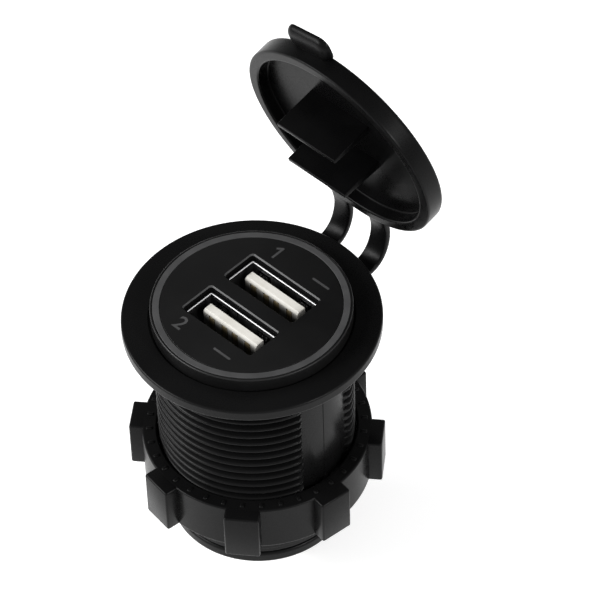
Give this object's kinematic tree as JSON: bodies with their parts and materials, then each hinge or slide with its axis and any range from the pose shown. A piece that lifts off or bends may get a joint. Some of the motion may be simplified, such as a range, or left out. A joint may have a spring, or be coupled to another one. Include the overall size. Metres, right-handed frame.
{
  "type": "car dual usb socket",
  "caption": "Panel-mounted charging socket for a vehicle interior: two USB ports in a round threaded housing, with a clamping ring nut and a hinged rubber cover.",
  "frame": {"origin": "centre of the flange's underside, where the barrel leaves it", "axes": "+Z along the barrel's axis, out of the vehicle's panel; +X along the ports' long side, parallel to the cover's hinge line; +Y towards the cover's straps"},
  "size_m": [0.0372, 0.0433, 0.0884],
  "materials": {
    "housing_plastic": "satin moulded",
    "panel_plastic": "satin moulded",
    "grey_plastic": "satin",
    "shell_steel": "bright nickel plated",
    "tongue_nylon": "moulded",
    "contact_metal": "gold plated",
    "board": "solder mask",
    "ferrite": "sintered",
    "copper_wire": "enamelled",
    "can_aluminium": "drawn",
    "chip_resin": "moulded",
    "terminal_metal": "tin plated",
    "cover_rubber": "matte moulded"
  },
  "bodies": {
    "socket": {"threaded_housing": "housing_plastic", "face_panel": "panel_plastic", "face_ring": "grey_plastic", "port_shell_near": "shell_steel", "port_shell_far": "shell_steel", "port_tongue_near": "tongue_nylon", "port_tongue_far": "tongue_nylon", "near_contact_1": "contact_metal", "near_contact_2": "contact_metal", "near_contact_3": "contact_metal", "near_contact_4": "contact_metal", "far_contact_1": "contact_metal", "far_contact_2": "contact_metal", "far_contact_3": "contact_metal", "far_contact_4": "contact_metal", "front_board": "board", "converter_board": "board", "inductor_core": "ferrite", "inductor_winding": "copper_wire", "capacitor_1": "can_aluminium", "capacitor_2": "can_aluminium", "converter_chip": "chip_resin", "port_chip": "chip_resin", "diode": "chip_resin", "fuse": "chip_resin", "rear_cap": "housing_plastic", "terminal_positive": "terminal_metal", "terminal_negative": "terminal_metal", "cover_ring": "cover_rubber", "strap_left": "cover_rubber", "strap_right": "cover_rubber"},
    "lid": {"lid_cap": "cover_rubber"},
    "nut": {"ring_nut": "housing_plastic"}
  },
  "joints": [
    {"name": "lid_hinge", "type": "hinge", "parent": "socket", "child": "lid", "pos_m": [0, 0.02187, 0.00098], "axis": [1, 0, 0], "range_deg": [-60, 77], "stiffness_Nm_per_rad": 0.006, "deforming": ["strap_left", "strap_right"]},
    {"name": "nut_travel", "type": "slide", "parent": "socket", "child": "nut", "axis": [0, 0, 1], "range_m": [-0.026, 0.0197]}
  ]
}
